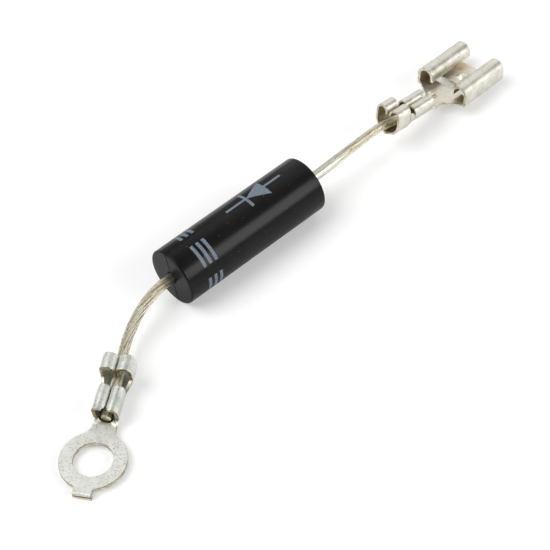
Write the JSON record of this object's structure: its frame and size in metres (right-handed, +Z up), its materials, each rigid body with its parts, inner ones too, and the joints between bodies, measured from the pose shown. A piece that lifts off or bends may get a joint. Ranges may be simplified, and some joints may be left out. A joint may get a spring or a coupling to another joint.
{
  "type": "high-voltage diode",
  "caption": "Black moulded cylindrical high-voltage rectifier diode whose short stranded leads end in a crimped ring terminal and a crimped receptacle for a flat tab.",
  "frame": {"origin": "centre of the ring terminal's screw hole, on the underside of the ring", "axes": "+X along the body's axis from the cathode end to the anode end, +Z up along the screw hole, with the part lying on the body and the ring terminal's lug"},
  "size_m": [0.0827, 0.0213, 0.0075],
  "materials": {
    "epoxy": "black moulded epoxy, satin on the side and matt on the ends",
    "tinned_sheet": "tinned brass sheet, matt with a warm tone",
    "tinned_strand": "tinned copper strands, semi-bright",
    "copper": "plain turned copper",
    "silicon": "sawn and etched silicon",
    "solder": "solder layer",
    "coating": "cured junction resin"
  },
  "bodies": {
    "root": {"epoxy_body": "epoxy", "junction_coating": "coating", "cathode_electrode": "copper", "anode_electrode": "copper", "cathode_lead": "tinned_strand", "anode_lead": "tinned_strand", "ring_terminal": "tinned_sheet", "receptacle_terminal": "tinned_sheet", "silicon_die_1": "silicon", "silicon_die_2": "silicon", "silicon_die_3": "silicon", "silicon_die_4": "silicon", "silicon_die_5": "silicon", "silicon_die_6": "silicon", "silicon_die_7": "silicon", "silicon_die_8": "silicon", "silicon_die_9": "silicon", "silicon_die_10": "silicon", "silicon_die_11": "silicon", "silicon_die_12": "silicon", "solder_layer_1": "solder", "solder_layer_2": "solder", "solder_layer_3": "solder", "solder_layer_4": "solder", "solder_layer_5": "solder", "solder_layer_6": "solder", "solder_layer_7": "solder", "solder_layer_8": "solder", "solder_layer_9": "solder", "solder_layer_10": "solder", "solder_layer_11": "solder", "solder_layer_12": "solder", "solder_layer_13": "solder"}
  },
  "joints": []
}
